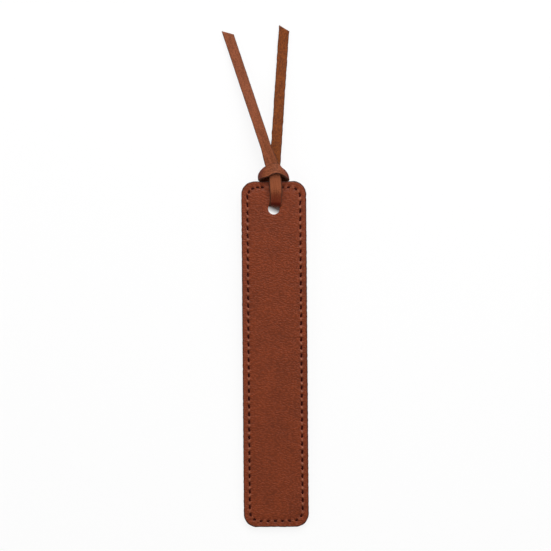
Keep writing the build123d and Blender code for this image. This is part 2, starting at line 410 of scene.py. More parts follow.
def pebbled_leather(colours):
    """Coated split leather, pressed with a pebble grain and rolled to a satin face.

    The eye sees soft round pebbles between darker creases, a low sheen and a slight change of tone, and a
    painted highlight on the leather between stitches.
    The real pebbles are about half a millimetre: they are drawn a little coarser so that they show.
    """
    material, tree, shader = new_material("coated_leather_pebble_pressed", IOR=1.42, Specular_IOR_Level=0.35)
    place = add(tree, "TexCoord").outputs["Object"]
    drift = add(tree, "TexNoise", {"Vector": place, "Scale": per(2.4), "Detail": 2.0}).outputs["Color"]
    bent = add(tree, "VectorMath", {0: drift, 1: (0.4 * MM,) * 3, 2: place}, operation="MULTIPLY_ADD")
    wide = add(tree, "Mapping", {"Vector": bent, "Scale": (0.55, 1.15, 1.0)})
    cells = {"Vector": wide, "Scale": per(0.7), "Smoothness": 0.4}
    pebbles = add(tree, "TexVoronoi", cells, feature="SMOOTH_F1")
    pores = add(tree, "TexNoise", {"Vector": place, "Scale": per(0.25), "Detail": 3.0})
    patches = add(tree, "TexNoise", {"Vector": place, "Scale": per(9), "Detail": 5.0})
    crown = {"Value": pebbles, "From Min": 0.05, "From Max": 0.75, "To Min": 1.0, "To Max": 0.0}
    domes = add(tree, "MapRange", crown, interpolation_type="SMOOTHSTEP")
    valley = add(tree, "MapRange", {"Value": domes, "From Max": 0.6, "To Min": 0.56, "To Max": 0.0})
    tone = add(tree, "MapRange", {"Value": patches, "From Min": 0.38, "From Max": 0.66, "To Max": 0.28})
    shade = add(tree, "Math", {0: valley, 1: tone}, operation="ADD", use_clamp=True)
    body = add(tree, "Mix", {0: shade, 6: colours.panel, 7: colours.panel_dark}, data_type="RGBA")
    # Painted highlight on the leather between stitches
    painted_highlight = add(tree, "Attribute", attribute_name="painted_highlight").outputs["Fac"]
    face = add(tree, "Mix", {0: painted_highlight, 6: body, 7: colours.painted_bridge_highlight}, data_type="RGBA")
    gloss = add(tree, "MapRange", {"Value": pores, "To Min": 0.42, "To Max": 0.62})
    relief = add(tree, "Math", {0: pores, 1: 0.5, 2: domes}, operation="MULTIPLY_ADD")
    bump = add(tree, "Bump", {"Height": relief, "Strength": 0.8, "Distance": 0.11 * MM})
    feed(tree, shader, {"Base Color": face, "Roughness": gloss, "Normal": bump})
    return material


def edge_paint(colours):
    """Acrylic edge paint, brushed on in coats: a dark satin skin with small ripples and thin spots."""
    finish = {"IOR": 1.49, "Roughness": 0.5, "Specular_IOR_Level": 0.3}
    material, tree, shader = new_material("acrylic_edge_paint_brushed", **finish)
    place = add(tree, "TexCoord").outputs["Object"]
    ripple = add(tree, "TexNoise", {"Vector": place, "Scale": per(0.9), "Detail": 3.0})
    thin = add(tree, "MapRange", {"Value": ripple, "From Min": 0.52, "From Max": 0.75, "To Max": 0.6})
    skin = add(tree, "Mix", {0: thin, 6: colours.paint, 7: colours.panel_dark}, data_type="RGBA")
    bump = add(tree, "Bump", {"Height": ripple, "Strength": 0.5, "Distance": 0.08 * MM})
    feed(tree, shader, {"Base Color": skin, "Normal": bump})
    return material


def waxed_thread(colours):
    """Waxed polyester sewing thread, twisted: dark plies with a dull wax sheen along them."""
    finish = {"IOR": 1.42, "Roughness": 0.6, "Specular_IOR_Level": 0.12}
    material, tree, shader = new_material("polyester_thread_waxed_twisted", **finish)
    place = add(tree, "TexCoord").outputs["Object"]
    fibres = add(tree, "TexNoise", {"Vector": place, "Scale": per(0.2), "Detail": 3.0})
    body = add(tree, "Mix", {0: fibres, 6: colours.thread, 7: colours.thread * 0.45}, data_type="RGBA")
    bump = add(tree, "Bump", {"Height": fibres, "Strength": 0.6, "Distance": 0.05 * MM})
    feed(tree, shader, {"Base Color": body, "Normal": bump})
    return material


def lace_grain(colours):
    """Grain side of a leather lace, coated and slit.

    The eye sees a satin face with fine lengthwise creases. Painted light lightens the upper leg and smooths
    its creases where the band shades it, and painted shade darkens the lace at the hole and at the folds.
    """
    material, tree, shader = new_material("lace_leather_coated_grain", IOR=1.42, Specular_IOR_Level=0.22)
    strip = add(tree, "Attribute", attribute_name="strip").outputs["Vector"]
    long = add(tree, "Mapping", {"Vector": strip, "Scale": (0.16, 1.0, 1.0)})
    streaks = add(tree, "TexNoise", {"Vector": long, "Scale": per(0.8), "Detail": 4.0})
    flecks = add(tree, "TexNoise", {"Vector": strip, "Scale": per(0.6), "Detail": 1.0})
    pores = add(tree, "TexNoise", {"Vector": strip, "Scale": per(0.3), "Detail": 3.0})
    creased = add(tree, "MapRange", {"Value": streaks, "From Min": 0.42, "From Max": 0.7, "To Max": 0.5})
    flecked = add(tree, "MapRange", {"Value": flecks, "From Min": 0.4, "From Max": 0.7, "To Max": 0.6})
    shade = add(tree, "Math", {0: creased, 1: flecked}, operation="ADD", use_clamp=True)
    body = add(tree, "Mix", {0: shade, 6: colours.lace, 7: colours.lace_dark}, data_type="RGBA")
    # Above zero the lace is darkened with painted shade, and below zero it is lightened with painted light
    painted_shading = add(tree, "Attribute", attribute_name="painted_shading").outputs["Fac"]
    painted_light = add(tree, "Math", {0: painted_shading, 1: -1.0}, operation="MULTIPLY", use_clamp=True)
    painted_lit = add(tree, "Mix", {0: painted_light, 6: body, 7: colours.lace}, data_type="RGBA")
    painted_shaded = add(tree, "Mix", {0: painted_shading, 6: painted_lit, 7: colours.lace_painted_shade}, data_type="RGBA")
    gloss = add(tree, "MapRange", {"Value": pores, "To Min": 0.4, "To Max": 0.6})
    relief = add(tree, "Math", {0: streaks, 1: -1.2, 2: pores}, operation="MULTIPLY_ADD")
    bump = add(tree, "Bump", {"Height": relief, "Strength": 0.7, "Distance": 0.1 * MM})
    feed(tree, shader, {"Base Color": painted_shaded, "Roughness": gloss, "Normal": bump})
    return material


def lace_flesh(colours):
    """Flesh side of the lace, as split: a dull nap of loose fibres, faintly bright along its outline."""
    finish = {"IOR": 1.4, "Roughness": 0.9, "Sheen_Weight": 0.06, "Sheen_Roughness": 0.5}
    material, tree, shader = new_material("lace_leather_split_flesh", **finish)
    strip = add(tree, "Attribute", attribute_name="strip").outputs["Vector"]
    combed = add(tree, "Mapping", {"Vector": strip, "Scale": (0.75, 1.0, 1.0)})
    nap = add(tree, "TexNoise", {"Vector": combed, "Scale": per(0.62), "Detail": 2.0})
    blotch = add(tree, "TexNoise", {"Vector": strip, "Scale": per(2.2), "Detail": 3.0})
    shade = add(tree, "Math", {0: blotch, 1: 0.3, 2: nap}, operation="MULTIPLY_ADD")
    depth = add(tree, "MapRange", {"Value": shade, "From Min": 0.5, "From Max": 0.8})
    body = add(tree, "Mix", {0: depth, 6: colours.flesh_dark, 7: colours.flesh}, data_type="RGBA")
    bump = add(tree, "Bump", {"Height": nap, "Strength": 0.8, "Distance": 0.14 * MM})
    feed(tree, shader, {"Base Color": body, "Normal": bump})
    return material


def lace_cut_edge(colours):
    """Slit edge of the lace: raw, matt and fibrous, with the fibres in thin layers along the strip."""
    material, tree, shader = new_material("lace_leather_slit_edge", IOR=1.45, Roughness=0.85)
    strip = add(tree, "Attribute", attribute_name="strip").outputs["Vector"]
    layers = add(tree, "Mapping", {"Vector": strip, "Scale": (0.3, 1.0, 1.0)})
    fibres = add(tree, "TexNoise", {"Vector": layers, "Scale": per(0.3), "Detail": 4.0})
    body = add(tree, "Mix", {0: fibres, 6: colours.flesh_dark, 7: colours.cut}, data_type="RGBA")
    bump = add(tree, "Bump", {"Height": fibres, "Strength": 0.7, "Distance": 0.1 * MM})
    feed(tree, shader, {"Base Color": body, "Normal": bump})
    return material


def pressed_board(colours):
    """Pressed fibre board: pale, matt and flecked with short fibres."""
    material, tree, shader = new_material("fibre_board_pressed", IOR=1.45, Roughness=0.85)
    place = add(tree, "TexCoord").outputs["Object"]
    flecks = add(tree, "TexNoise", {"Vector": place, "Scale": per(0.8), "Detail": 5.0})
    body = add(tree, "Mix", {0: flecks, 6: colours.board, 7: colours.board * 0.7}, data_type="RGBA")
    bump = add(tree, "Bump", {"Height": flecks, "Strength": 0.3, "Distance": 0.05 * MM})
    feed(tree, shader, {"Base Color": body, "Normal": bump})
    return material


def seen_rays(tree):
    """The rays that show the white background: straight to the camera, mirrored or through glass."""
    path = add(tree, "LightPath")
    seen = path.outputs["Is Camera Ray"]
    for ray in ("Is Glossy Ray", "Is Transmission Ray"):
        seen = add(tree, "Math", {0: seen, 1: path.outputs[ray]}, operation="MAXIMUM")
    return seen


def studio_floor(stage):
    """Matt paper from the roll: it stays near white to the eye and keeps a faint shadow."""
    material, tree, shader = new_material("matt_paper_floor", Base_Color=stage.floor, Roughness=0.9)
    # Share of white: even over the floor, and painted light and shadow on the patch under the hole
    glow_and_painted_light = add(tree, "Attribute", attribute_name="glow_and_painted_light").outputs["Fac"]
    share = add(tree, "Math", {0: seen_rays(tree), 1: glow_and_painted_light}, operation="MULTIPLY", use_clamp=True)
    white = add(tree, "Emission", {"Color": WHITE, "Strength": 1.0})
    mixed = add(tree, "MixShader", {0: share, 1: shader, 2: white})
    feed(tree, tree.nodes["Material Output"], {"Surface": mixed})
    return material


# Meshes


def mesh_piece(name, points, faces, materials, finishes=None, attributes=None):
    """A smooth mesh object with its materials, each face's finish and point attributes."""
    mesh = bpy.data.meshes.new(name)
    mesh.from_pydata(points, [], faces)
    for material in materials:
        mesh.materials.append(material)
    if finishes:
        mesh.polygons.foreach_set("material_index", finishes)
    for key, values in (attributes or {}).items():
        if isinstance(values[0], tuple):
            layer = mesh.attributes.new(key, "FLOAT_VECTOR", "POINT")
            layer.data.foreach_set("vector", [c for value in values for c in value])
        else:
            layer = mesh.attributes.new(key, "FLOAT", "POINT")
            layer.data.foreach_set("value", values)
    mesh.shade_smooth()
    mesh.validate()
    piece = bpy.data.objects.new(name, mesh)
    bpy.context.scene.collection.objects.link(piece)
    return piece


def ease(value, low, high):
    """A smooth step from 0 at low to 1 at high."""
    t = min(max((value - low) / (high - low), 0), 1)
    return t * t * (3 - 2 * t)


def ramp(value, low, high):
    """A smooth step between two places given in millimetres."""
    return ease(value, low * MM, high * MM)


def hill(value, width):
    """A soft bump of a width given in millimetres, 1 at its top."""
    return math.exp(-((value / (width * MM)) ** 2))


def smooth(rows, steps):
    """Rows of numbers joined by an even curve through all of them."""

    def between(a, b, c, d, t):
        return b + t * (c - a) / 2 + t**2 * (a - 2.5 * b + 2 * c - d / 2) + t**3 * (3 * (b - c) + d - a) / 2

    ends = [rows[0], *rows, rows[-1]]
    points = []
    for span in zip(ends, ends[1:], ends[2:], ends[3:]):
        for step in range(steps):
            points.append(tuple(between(*numbers, step / steps) for numbers in zip(*span)))
    return [*points, rows[-1]]


def neighbours(count):
    """Each place in a closed ring with the next."""
    return [(i, (i + 1) % count) for i in range(count)]


def belt(first, second, count):
    """Faces between two closed rings of points, each named by its first point."""
    return [(first + i, first + j, second + j, second + i) for i, j in neighbours(count)]


class Seam:
    """The seam's line round the panel, and the lines drawn in from the edge beside it."""

    def __init__(self, sizes):
        self.sizes = sizes
        self.half_width = (PANEL_HIGH.x - PANEL_LOW.x) / 2
        self.half_length = (PANEL_HIGH.y - PANEL_LOW.y) / 2
        radius = sizes.seam_corner
        across = self.half_width - sizes.seam_inset - radius
        along = self.half_length - sizes.seam_inset - radius
        arc = math.pi * radius / 2
        # Each stretch: its length, where it starts and ends as shares of the straight sides, and its facing
        corners = ((-1, 1), (-1, -1), (1, -1), (1, 1))
        self.painted_highlights = []
        for i, j in neighbours(len(corners)):
            facing = (180 + 90 * i) % 360
            straight = 2 * (across if i % 2 else along)
            self.painted_highlights.append((straight, corners[i], corners[j], (facing, facing)))
            self.painted_highlights.append((arc, corners[j], corners[j], (facing, facing + 90)))
        self.length = sum(stretch[0] for stretch in self.painted_highlights)
        # Each stitch's middle along the seam and its length, in pairs of neighbours
        stitches = []
        for first, last, count, share in STITCH_RUNS:
            step = (last - first) / max(count - 1, 1)
            stitches += [((first + step * index) * MM, share * sizes.stitch_length) for index in range(count)]
        around = (stitches[0][0] + self.length, stitches[0][1])
        self.gaps = list(zip(stitches, [*stitches[1:], around]))

    def radius(self, inset):
        """The corner radius of the line at an inset from the edge."""
        sizes = self.sizes
        fall = (sizes.corner_radius - sizes.seam_corner) / sizes.seam_inset
        return max(sizes.corner_radius - fall * inset, INNER_CORNER * sizes.seam_corner)

    def point(self, distance, inset):
        """The point at a distance along the seam, moved square to it to an inset from the edge."""
        distance %= self.length
        for span, start, end, facing in self.painted_highlights:
            if distance <= span:
                break
            distance -= span
        t = min(distance / span, 1)
        share_x, share_y = (a + t * (b - a) for a, b in zip(start, end))
        angle = math.radians(facing[0] + t * (facing[1] - facing[0]))
        radius = self.radius(inset)
        x = share_x * (self.half_width - inset - radius) + radius * math.cos(angle)
        y = share_y * (self.half_length - inset - radius) + radius * math.sin(angle)
        wave = noise.noise(Vector((x, y, 0)) / (EDGE_WAVE * MM)) * (1 - ramp(inset, 0, EDGE_WAVE_REACH))
        return Vector((x, y)) + Vector((math.cos(angle), math.sin(angle))) * self.sizes.edge_uneven * wave

    def outward(self, distance):
        """The direction out of the panel, square to the seam."""
        return (self.point(distance, 0) - self.point(distance, self.sizes.seam_inset)).normalized()

    def columns(self, front):
        """Places along the seam, how far each lies past a stitch's end, and the strength of its painted
        highlight.
        """
        columns = []
        for (before, first), (after, last) in self.gaps:
            highlight_share = (min(first, last) / self.sizes.stitch_length) ** 3
            for step in range(STEPS_PER_STITCH):
                distance = before + (after - before) * step / STEPS_PER_STITCH
                if front:
                    past = min(distance - before - first / 2, after - distance - last / 2)
                else:
                    past = abs(distance - (before + after) / 2) - (first + last) / 4
                columns.append((distance, past, highlight_share))
        return columns


def seam_relief(sizes, past, highlight_share, inset):
    """How far the leather stands above its flat face, and its painted highlight, past the end of a stitch."""
    beside = inset - sizes.seam_inset
    stitched = 1 - ramp(past, -SHOULDER, SHOULDER)
    rise = sizes.bridge_height * (1 - stitched) * hill(beside, BRIDGE_WIDTH)
    rise -= sizes.bed_depth * stitched * hill(beside, BED_WIDTH)
    rise -= DIP * MM * hill(beside, DIP_WIDTH)
    rise += FIELD_RISE * MM * ramp(beside, 0, FIELD_RUN)
    # Painted highlight on the leather that rises between stitches
    painted_highlight = highlight_share * ramp(past, 0, HIGHLIGHT_RUN) * hill(beside, HIGHLIGHT_WIDTH)
    return rise * ramp(inset, 0, RELIEF_RUN), painted_highlight


def edge_rows(sizes):
    """Insets from the edge and depths below the face of the rows over the rounded and painted edge."""
    turns = [math.radians(90 * step / EDGE_STEPS) for step in range(EDGE_STEPS, -1, -1)]
    shares = [(1 - math.sin(turn), 1 - math.cos(turn)) for turn in turns]
    return [(sizes.edge_round * inwards, sizes.edge_round * down) for inwards, down in shares]


def hole_ring(middle, radius):
    """Points round the hole at a radius."""
    turns = [math.tau * step / RIM_STEPS for step in range(RIM_STEPS)]
    return [middle + Vector((math.cos(turn), math.sin(turn))) * radius for turn in turns]


def field_fill(border, rim, spacing):
    """Even points between a closed border and the hole's rim, and triangles over them all."""
    low_x, low_y = min(p.x for p in border), min(p.y for p in border)
    wide, long = max(p.x for p in border) - low_x, max(p.y for p in border) - low_y
    middle = sum(rim, Vector((0, 0))) / len(rim)
    clear = (rim[0] - middle).length + spacing / 2
    columns, rows = round(wide / spacing), round(long / spacing)
    grid = []
    for column in range(1, columns):
        for row in range(1, rows):
            spot = Vector((low_x + column * wide / columns, low_y + row * long / rows))
            if (spot - middle).length > clear:
                grid.append(spot)
    loops = []
    for first, count in ((0, len(border)), (len(border), len(rim))):
        loops += [(first + i, first + j) for i, j in neighbours(count)]
    every_face, nearest = 0, 1e-9
    filled = geometry.delaunay_2d_cdt([*border, *rim, *grid], loops, [], every_face, nearest)
    origins = filled[3]
    faces = [[origins[i][0] for i in face] for face in filled[2]]
    rim_points = range(len(border), len(border) + len(rim))
    return grid, [face for face in faces if not all(i in rim_points for i in face)]


def leather_sheet(name, sizes, front, materials):
    """One leather of the panel: grained face, puckered seam, painted edge, punched hole and flat inside."""
    seam = Seam(sizes)
    side = 1 if front else -1
    columns = seam.columns(front)
    count = len(columns)
    hole = Vector((0, TOP_EDGE - sizes.hole_from_top))

    # The face by its spots on the panel and their drops: the border, the hole's rim and the field between
    spots, drops, painted_highlights = [], [], []
    for inset, drop in edge_rows(sizes) + [(inset * MM, 0) for inset in BORDER_ROWS]:
        for distance, past, highlight_share in columns:
            rise, painted_highlight = seam_relief(sizes, past, highlight_share, inset)
            spots.append(seam.point(distance, inset))
            drops.append(drop - rise)
            painted_highlights.append(painted_highlight)
    rim = len(spots)
    border = rim - count
    field_drop = drops[-1]
    for gap, drop in RIM_RINGS:
        spots += hole_ring(hole, sizes.hole_radius + gap * MM)
        drops += [field_drop + drop * MM] * RIM_STEPS
    last_rim = len(spots) - RIM_STEPS
    faces = []
    for first in range(0, border, count):
        faces += belt(first, first + count, count)
    for first in range(rim, last_rim, RIM_STEPS):
        faces += belt(first, first + RIM_STEPS, RIM_STEPS)
    grid, fill = field_fill(spots[border:rim], spots[rim : rim + RIM_STEPS], FACE_SPACING * MM)
    named = [*range(border, rim + RIM_STEPS), *range(len(spots), len(spots) + len(grid))]
    faces += [tuple(named[i] for i in face) for face in fill]
    spots += grid
    drops += [field_drop] * len(grid)
    level = PANEL_MIDDLE + side * (PANEL_HIGH.z - PANEL_MIDDLE)
    points = []
    for spot, drop in zip(spots, drops):
        wave = FACE_WAVE_HEIGHT * MM * noise.noise(Vector((spot.x, spot.y, side)) / (FACE_WAVE * MM))
        points.append((spot.x, spot.y, level - side * (drop - wave)))

    # The flat inside: the press for the stiffener, its step and a sewn border
    pressed = PANEL_MIDDLE + side * sizes.press_depth
    rings = [(hole_ring(hole, sizes.hole_radius), pressed)]
    foot_inset = sizes.press_inset + PRESS_STEP * MM
    for inset, level in ((foot_inset, pressed), (sizes.press_inset, PANEL_MIDDLE), (0, PANEL_MIDDLE)):
        rings.append(([seam.point(distance, inset) for distance, _, _ in columns], level))
    starts = []
    for ring, level in rings:
        starts.append(len(points))
        points += [(spot.x, spot.y, level) for spot in ring]
    inner_rim, foot, step, edge = starts
    grid, fill = field_fill(rings[1][0], rings[0][0], INSIDE_SPACING * MM)
    named = [*range(foot, foot + count), *range(inner_rim, foot)]
    named += range(len(points), len(points) + len(grid))
    points += [(spot.x, spot.y, pressed) for spot in grid]
    inside = [tuple(named[i] for i in face)[::-1] for face in fill]
    inside += belt(foot, step, count) + belt(step, edge, count)

    # The painted walls that close the edge and the hole
    walls = []
    for low, high, steps in ((0, edge, count), (inner_rim, last_rim, RIM_STEPS)):
        walls += [(low + i, high + i, high + j, low + j) for i, j in neighbours(steps)]
    rounded = EDGE_STEPS * count
    finishes = [PAINT] * rounded + [GRAIN] * (len(faces) - rounded + len(inside)) + [PAINT] * len(walls)
    faces += inside + walls
    if not front:
        faces = [face[::-1] for face in faces]
    painted_highlights += [0] * (len(points) - len(painted_highlights))
    piece = mesh_piece(name, points, faces, materials, finishes, {"painted_highlight": painted_highlights})
    piece.data.set_sharp_from_angle(angle=SHARP_ANGLE)
    return piece


def thread_dash(seam, distance, length, side, points, faces):
    """One stitch of twisted thread, sunk into the leather at both ends."""
    sizes = seam.sizes
    reach = length / 2 + DASH_RUN_ON * MM
    level = PANEL_MIDDLE + side * (PANEL_HIGH.z - PANEL_MIDDLE)
    slant = -math.tan(sizes.stitch_slant) * seam.outward(distance).x
    first = len(points)
    for step in range(DASH_STEPS + 1):
        share = 2 * step / DASH_STEPS - 1
        along = reach * share
        spot = seam.point(distance + along, sizes.seam_inset + slant * along)
        out = seam.outward(distance + along)
        sunk = (DASH_SUNK + DASH_DIVE * share**4) * MM
        taper = 1 - DASH_TAPER * share**6
        for i in range(DASH_SIDES):
            angle = math.tau * i / DASH_SIDES
            ply = 1 + PLY_RELIEF * math.cos(PLIES * angle + along / (PLY_TWIST * MM))
            place = spot + out * (sizes.thread_width / 2 * math.cos(angle) * ply * taper)
            height = sizes.thread_height / 2 * math.sin(angle) * ply * taper
            points.append((place.x, place.y, level + side * (height - sunk)))
    last = len(points) - DASH_SIDES
    tube = []
    for start in range(first, last, DASH_SIDES):
        tube += belt(start, start + DASH_SIDES, DASH_SIDES)
    tube += [tuple(range(first, first + DASH_SIDES))[::-1], tuple(range(last, last + DASH_SIDES))]
    faces += tube if side < 0 else [face[::-1] for face in tube]


def strip_profile(lace, width, curl):
    """The lace's section as places across it and out of it, with the finish of each."""
    half, deep = width / 2, lace.thickness / 2
    corner = min(lace.edge_round, LARGEST_CORNER * deep)
    flat = half - corner
    turns = [math.radians(90 * step / ROUND_STEPS) for step in range(ROUND_STEPS + 1)]
    places = []
    for side, finish in ((1, LACE_FACE), (-1, LACE_BACK)):
        run = [(-flat + 2 * flat * step / FLAT_STEPS, deep, finish) for step in range(FLAT_STEPS + 1)]
        for turn in turns[1:]:
            run.append((flat + corner * math.sin(turn), deep - corner + corner * math.cos(turn), LACE_EDGE))
        for turn in turns[:-1]:
            run.append((flat + corner * math.cos(turn), corner - deep - corner * math.sin(turn), LACE_EDGE))
        places += [(side * a, side * n, kind) for a, n, kind in run]
    return [(a, n + curl * ((a / half) ** 2 - 1 / 3), kind) for a, n, kind in places]


def crease(across, along):
    """Height of the lengthwise creases where the knot gathers the lace."""
    drift = CREASE_DRIFT * MM * noise.noise(Vector((along / (CREASE_DRIFT_RUN * MM), 0, 0)))
    spot = Vector(((across + drift) / (CREASE_SPACING * MM), along / (CREASE_LENGTH * MM), 0))
    return CREASE_HEIGHT * MM * noise.noise(spot)


def strip_piece(name, stations, lace, materials, shape, shading_paint=None):
    """A flat lace through stations of middle, across, width and curl, closed at both ends.

    Shape moves a point ahead, aside and out by its place along and across. Painted shading goes by the
    middle.
    """
    points, strip, painted_shading = [], [], []
    along = 0
    for index, (middle, across, width, curl) in enumerate(stations):
        before = stations[max(index - 1, 0)][0]
        after = stations[min(index + 1, len(stations) - 1)][0]
        along += (middle - before).length
        run = (after - before).normalized()
        out = run.cross(across).normalized()
        profile = strip_profile(lace, width, curl)
        for a, n, _ in profile:
            ahead, aside, lift = shape(along, a)
            points.append(middle + across * (a + aside) + out * (n + lift) + run * ahead)
            strip.append((along, a, n))
        painted_shading += [shading_paint(middle) if shading_paint else 0.0] * len(profile)
    size = len(profile)
    last = len(points) - size
    pairs = neighbours(size)
    kinds = [profile[i][2] if profile[i][2] == profile[j][2] else LACE_EDGE for i, j in pairs]
    faces, finishes = [], []
    for a in range(0, last, size):
        b = a + size
        faces += [(a + i, b + i, b + j, a + j) for i, j in pairs]
        finishes += kinds
    faces += [tuple(range(size)), tuple(range(last, last + size))[::-1]]
    finishes += [LACE_EDGE, LACE_EDGE]
    return mesh_piece(name, points, faces, materials, finishes, {"strip": strip, "painted_shading": painted_shading})


def hole_rows(side, layer, sizes, before, after):
    """Rows that turn the lace up through the hole and over its rims, from one leg to the next."""
    radius = RIM_BEND + PINCH_THICKNESS / 2 + layer * PINCH_THICKNESS
    above = RIM_ABOVE_HOLE - sizes.hole_from_top / MM
    low = PANEL_LOW.z / MM + RIM_BEND - RIM_LIFT
    high = PANEL_HIGH.z / MM - RIM_BEND + RIM_LIFT
    pinched = (PINCH_SHIFTS[layer], side * PINCH_TURN, PINCH_CURLS[layer], PINCH_WIDTHS[layer])
    rows = []
    for first, middle, leg in ((270, low, before), (180, high, after)):
        spread = (leg[0], leg[3], *leg[5:])
        for step in range(PINCH_STEPS + 1):
            angle = math.radians(first - 90 * step / PINCH_STEPS)
            t = step / PINCH_STEPS if leg is before else 1 - step / PINCH_STEPS
            x, turn, curl, width = (a + ease(t, 0, 1) * (b - a) for a, b in zip(spread, pinched))
            y, z = above + radius * math.cos(angle), middle + radius * math.sin(angle)
            rows.append((x, y, z, turn, 0, curl, width))
    return rows


def hitch_stations(sizes):
    """Stations of the whole hitch in metres, from the left tail round the band to the right tail."""
    halves = []
    for side, layer, lobe, front in ((-1, 1, LEFT_LOBE, LEFT_FRONT), (1, 0, RIGHT_LOBE, RIGHT_FRONT)):
        halves.append([*lobe, *hole_rows(side, layer, sizes, lobe[-1], front[0]), *front])
    rows = [*halves[0][::-1], BAND_MIDDLE, *halves[1]]
    stations = []
    for x, above, z, turn, tilt, curl, width in smooth(rows, STATION_STEPS):
        middle = Vector((x * MM, TOP_EDGE + above * MM, z * MM))
        turn, tilt = math.radians(turn), math.radians(tilt)
        flat = Vector((-math.sin(turn), math.cos(turn), 0))
        across = flat * math.cos(tilt) - Vector((0, 0, 1)) * math.sin(tilt)
        stations.append((middle, across, width * MM, curl * MM))
    return stations


def route_line(name, control):
    """The points of a smooth curve that is led by the route's points."""
    curve = bpy.data.curves.new(name, "CURVE")
    curve.dimensions = "3D"
    curve.resolution_u = ROUTE_STEPS
    spline = curve.splines.new("NURBS")
    spline.points.add(len(control) - 1)
    for point, place in zip(spline.points, control):
        point.co = (*place, 1)
    spline.order_u = 3
    spline.use_endpoint_u = True
    bare = bpy.data.objects.new(name, curve)
    mesh = bpy.data.meshes.new_from_object(bare)
    line = [vertex.co.copy() for vertex in mesh.vertices]
    bpy.data.meshes.remove(mesh)
    bpy.data.objects.remove(bare)
    bpy.data.curves.remove(curve)
    return line


# Operators


class BookmarkOperator:
    """What the bookmark's operators share."""

    bl_options = {"REGISTER", "UNDO"}


class BOOKMARK_OT_stage(BookmarkOperator, bpy.types.Operator):
    """Make the camera, the light and the floor"""

    bl_idname = "bookmark.stage"
    bl_label = "Stage"

    def execute(self, context):
        scene = context.scene
        stage = scene.bookmark_stage
        scene.view_settings.view_transform = "Standard"
        self.camera(scene, stage)
        self.lamps(scene, stage)
        self.surround(scene, stage)
        self.floor(stage, TOP_EDGE - scene.bookmark_panel.hole_from_top)
        return {"FINISHED"}

    def camera(self, scene, stage):
        """A camera straight above the panel."""
        camera = bpy.data.cameras.new("camera")
        camera.lens = camera.sensor_width * stage.camera_height / stage.view_width
        camera.clip_end = CAMERA_REACH
        viewer = bpy.data.objects.new("camera", camera)
        viewer.location = (stage.aim_x, stage.aim_y, PANEL_HIGH.z + stage.camera_height)
        viewer.rotation_euler = (0, 0, stage.roll)
        scene.collection.objects.link(viewer)
        scene.camera = viewer

    def lamps(self, scene, stage):
        """Round soft lamps that face the middle of the picture."""
        middle = Vector((stage.aim_x, stage.aim_y, 0))
        for name, place, power in LAMPS:
            light = bpy.data.lights.new(name, "AREA")
            light.shape = "DISK"
            light.size = LAMP_SIZE * MM
            light.energy = power * stage.light
            lamp = bpy.data.objects.new(name, light)
            lamp.location = place
            lamp.rotation_euler = (middle - lamp.location).to_track_quat("-Z", "Y").to_euler()
            scene.collection.objects.link(lamp)

    def surround(self, scene, stage):
        """Faint light from all round, and a white backdrop round the floor, under a dim ceiling."""
        world = bpy.data.worlds.new("studio")
        world.use_nodes = True
        tree = world.node_tree
        around = tree.nodes["Background"]
        feed(tree, around, {"Color": WHITE, "Strength": stage.fill})
        white = add(tree, "Background", {"Color": WHITE, "Strength": 1.0})
        facing = add(tree, "SeparateXYZ", {0: add(tree, "TexCoord").outputs["Generated"]}).outputs["Z"]
        low, high = HORIZON
        fading = {"Value": facing, "From Min": low, "From Max": high, "To Min": 1.0, "To Max": 0.0}
        backdrop = add(tree, "MapRange", fading)
        share = add(tree, "Math", {0: seen_rays(tree), 1: backdrop}, operation="MULTIPLY")
        mixed = add(tree, "MixShader", {0: share, 1: around, 2: white})
        feed(tree, tree.nodes["World Output"], {"Surface": mixed})
        scene.world = world

    def floor(self, stage, hole):
        """A pale floor, with a patch under the hole that has painted light and shadow.

        The lace props the panel's top end up, so the floor falls away under it and is level on both sides.
        """
        half = stage.floor_size / 2
        slope = LACE_LOW / (TOP_EDGE - stage.prop_from_top - PANEL_LOW.y)
        rest = PANEL_LOW.z - FLOOR_GAP * MM
        tip = CAD_BOUNDS[1][1]
        fallen = rest + slope * (tip - PANEL_LOW.y)
        rows = ((-half, rest), (PANEL_LOW.y, rest), (tip, fallen), (half, fallen))
        points = [(x, y, z) for y, z in rows for x in (-half, half)]
        glow_and_painted_light = [stage.floor_glow] * len(points)
        faces = [(i, i + 1, i + 3, i + 2) for i in range(0, len(points) - 2, 2)]
        faces.append(tuple(range(len(points), len(points) + 4)))
        for x, y in ((-1, -1), (1, -1), (1, 1), (-1, 1)):
            place = hole + y * HOLE_PATCH * MM
            level = rest + slope * (place - PANEL_LOW.y) + HOLE_PATCH_LIFT * MM
            points.append((x * HOLE_PATCH * MM, place, level))
            # Painted light and shadow across the hole's patch
            glow_and_painted_light.append(HOLE_PAINTED_LIGHT + HOLE_PATCH * Vector((x, y)).dot(HOLE_PAINTED_LIGHT_GROWTH))
        floor = mesh_piece("floor", points, faces, [studio_floor(stage)], attributes={"glow_and_painted_light": glow_and_painted_light})


